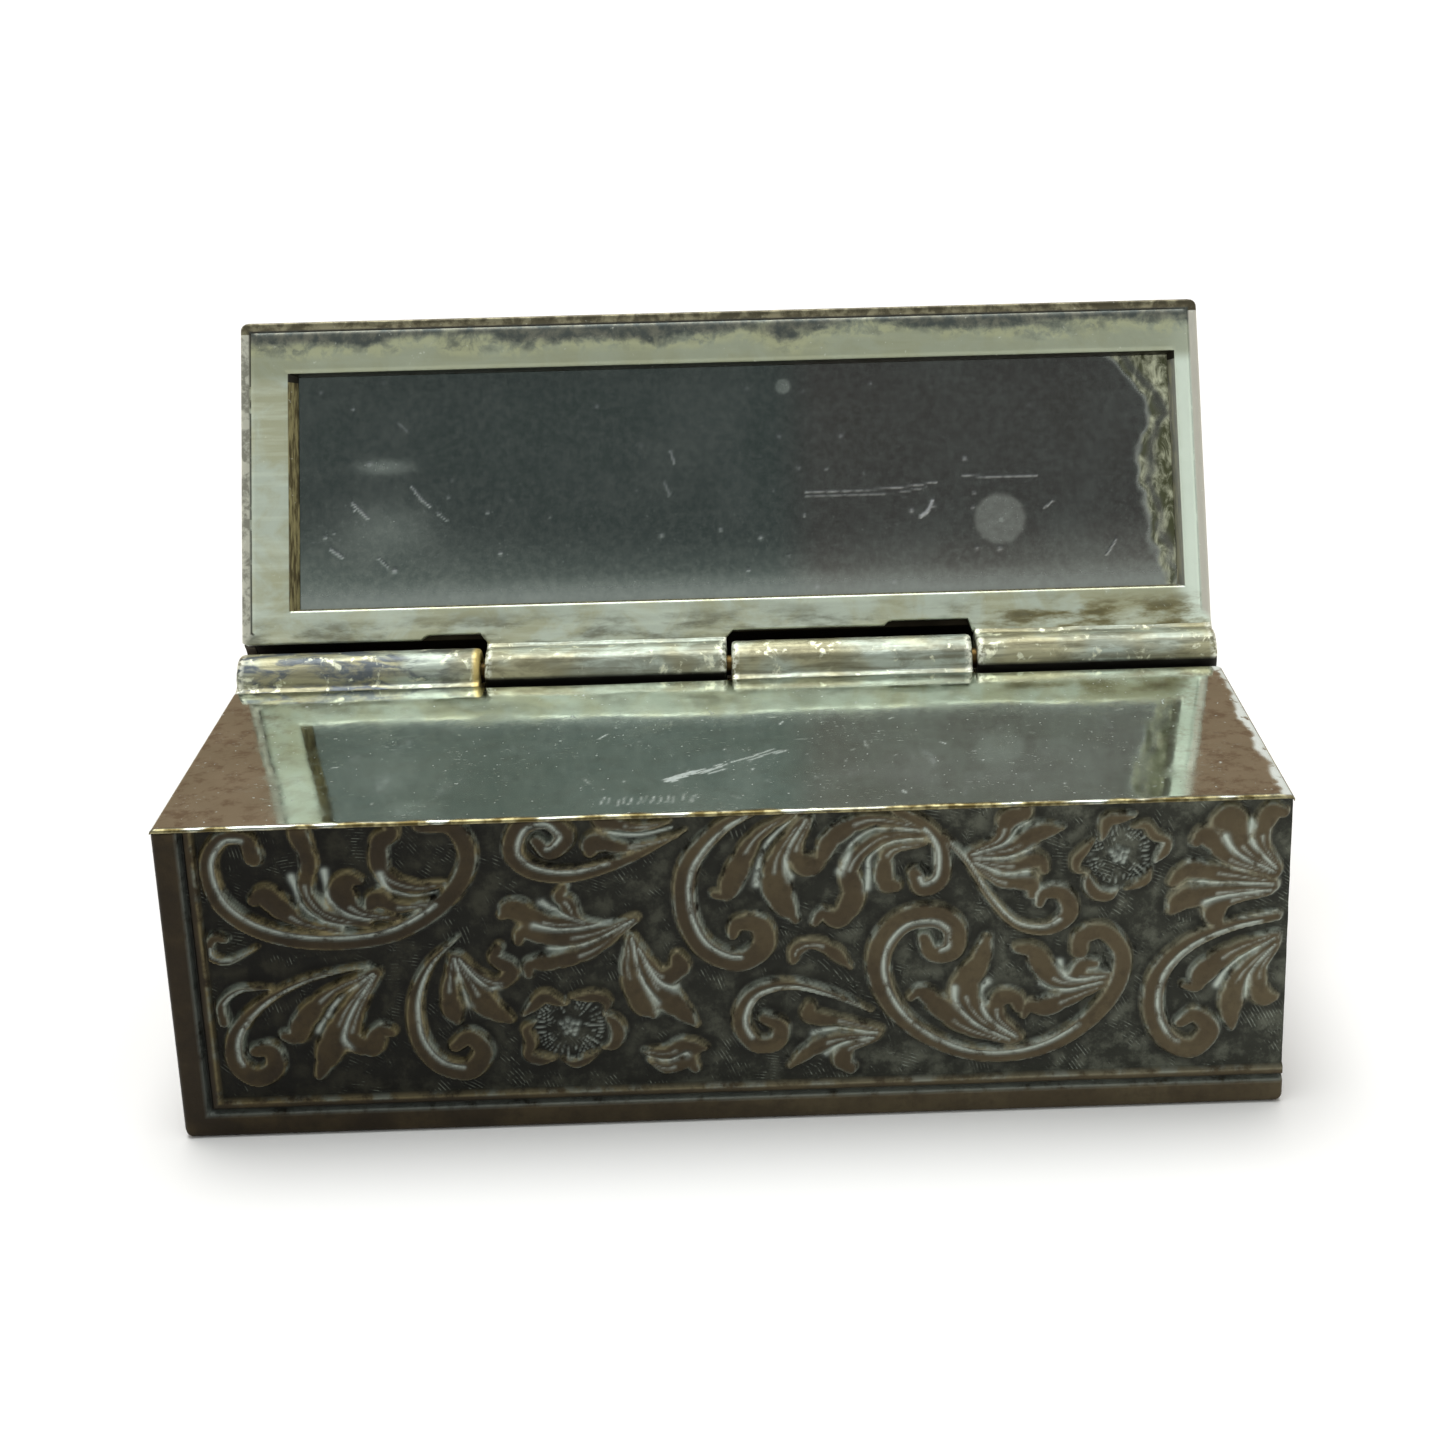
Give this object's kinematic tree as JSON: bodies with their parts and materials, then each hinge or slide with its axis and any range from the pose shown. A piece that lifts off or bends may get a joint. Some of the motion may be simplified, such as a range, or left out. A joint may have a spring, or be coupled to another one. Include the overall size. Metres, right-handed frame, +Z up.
{
  "type": "vanity trinket box",
  "caption": "Small chased metal vanity box with a mirror lid on a long-edge barrel hinge, a fixed polished plate beneath it and a sliding end tray.",
  "frame": {"origin": "middle of the flat underside", "axes": "+X along the box towards the tray's mouth, -Y towards the front face, +Z up"},
  "size_m": [0.057, 0.0328, 0.0368],
  "materials": {
    "chased_metal": "tarnished gilt silver, chased all over",
    "plate_metal": "polished silver, finely scratched",
    "frame_metal": "silver, tarnished blue-black along the edge",
    "hinge_metal": "mottled tarnished silver",
    "brass": "bare brass",
    "gilt_metal": "gilt inside",
    "spring_metal": "spring steel",
    "mirror": "old silvered glass, foxed and scratched",
    "card": "plain card"
  },
  "bodies": {
    "case": {"front_panel": "chased_metal", "left_end_panel": "chased_metal", "bottom_panel": "chased_metal", "back_panel": "chased_metal", "top_plate": "plate_metal", "case_bearer": "hinge_metal", "case_knuckle_left": "hinge_metal", "case_knuckle_right": "hinge_metal", "hinge_pin": "brass", "tray_runner_front": "gilt_metal", "tray_runner_rear": "gilt_metal", "tray_stop": "gilt_metal", "tray_spring": "spring_metal"},
    "lid": {"lid_cover": "chased_metal", "mirror_frame": "frame_metal", "mirror_glass": "mirror", "mirror_backing": "card", "lid_bearer": "hinge_metal", "lid_knuckle_left": "hinge_metal", "lid_knuckle_right": "hinge_metal"},
    "tray": {"tray_channel": "gilt_metal", "tray_inner_end": "gilt_metal", "tray_end_plate": "chased_metal"}
  },
  "joints": [
    {"name": "lid_hinge", "type": "hinge", "parent": "case", "child": "lid", "pos_m": [0, 0.01005, 0.0174], "axis": [1, 0, 0], "range_deg": [0, 113]},
    {"name": "tray_slide", "type": "slide", "parent": "case", "child": "tray", "axis": [1, 0, 0], "range_m": [0, 0.04]}
  ]
}
